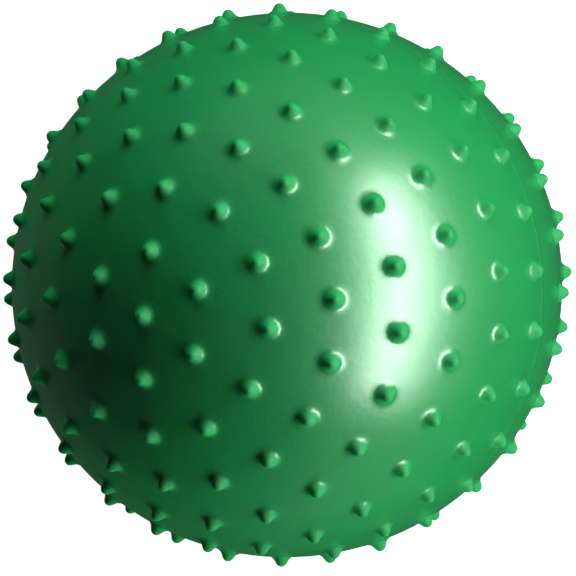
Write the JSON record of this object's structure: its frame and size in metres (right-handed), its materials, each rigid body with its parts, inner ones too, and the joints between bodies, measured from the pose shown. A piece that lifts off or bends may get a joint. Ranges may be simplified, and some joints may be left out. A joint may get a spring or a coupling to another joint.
{
  "type": "massage ball",
  "caption": "Hollow inflatable vinyl ball covered with rows of short cone-shaped knobs, with a raised mould seam and a push-in valve plug.",
  "frame": {"origin": "centre of the ball", "axes": "+Z along the moulding axis from the valve to the pole knob, so the valve faces down; +X through a knob of the first three rows"},
  "size_m": [0.207, 0.2074, 0.2162],
  "materials": {
    "skin_vinyl": "semi-gloss moulded vinyl",
    "seat_vinyl": "satin moulded vinyl",
    "plug_plastic": "satin moulded plastic"
  },
  "bodies": {
    "ball": {"ball_skin": "skin_vinyl", "valve_seat": "seat_vinyl"},
    "plug": {"valve_plug": "plug_plastic"}
  },
  "joints": [
    {"name": "plug_pull", "type": "slide", "parent": "ball", "child": "plug", "axis": [0, 0, -1], "range_m": [0, 0.018]}
  ]
}
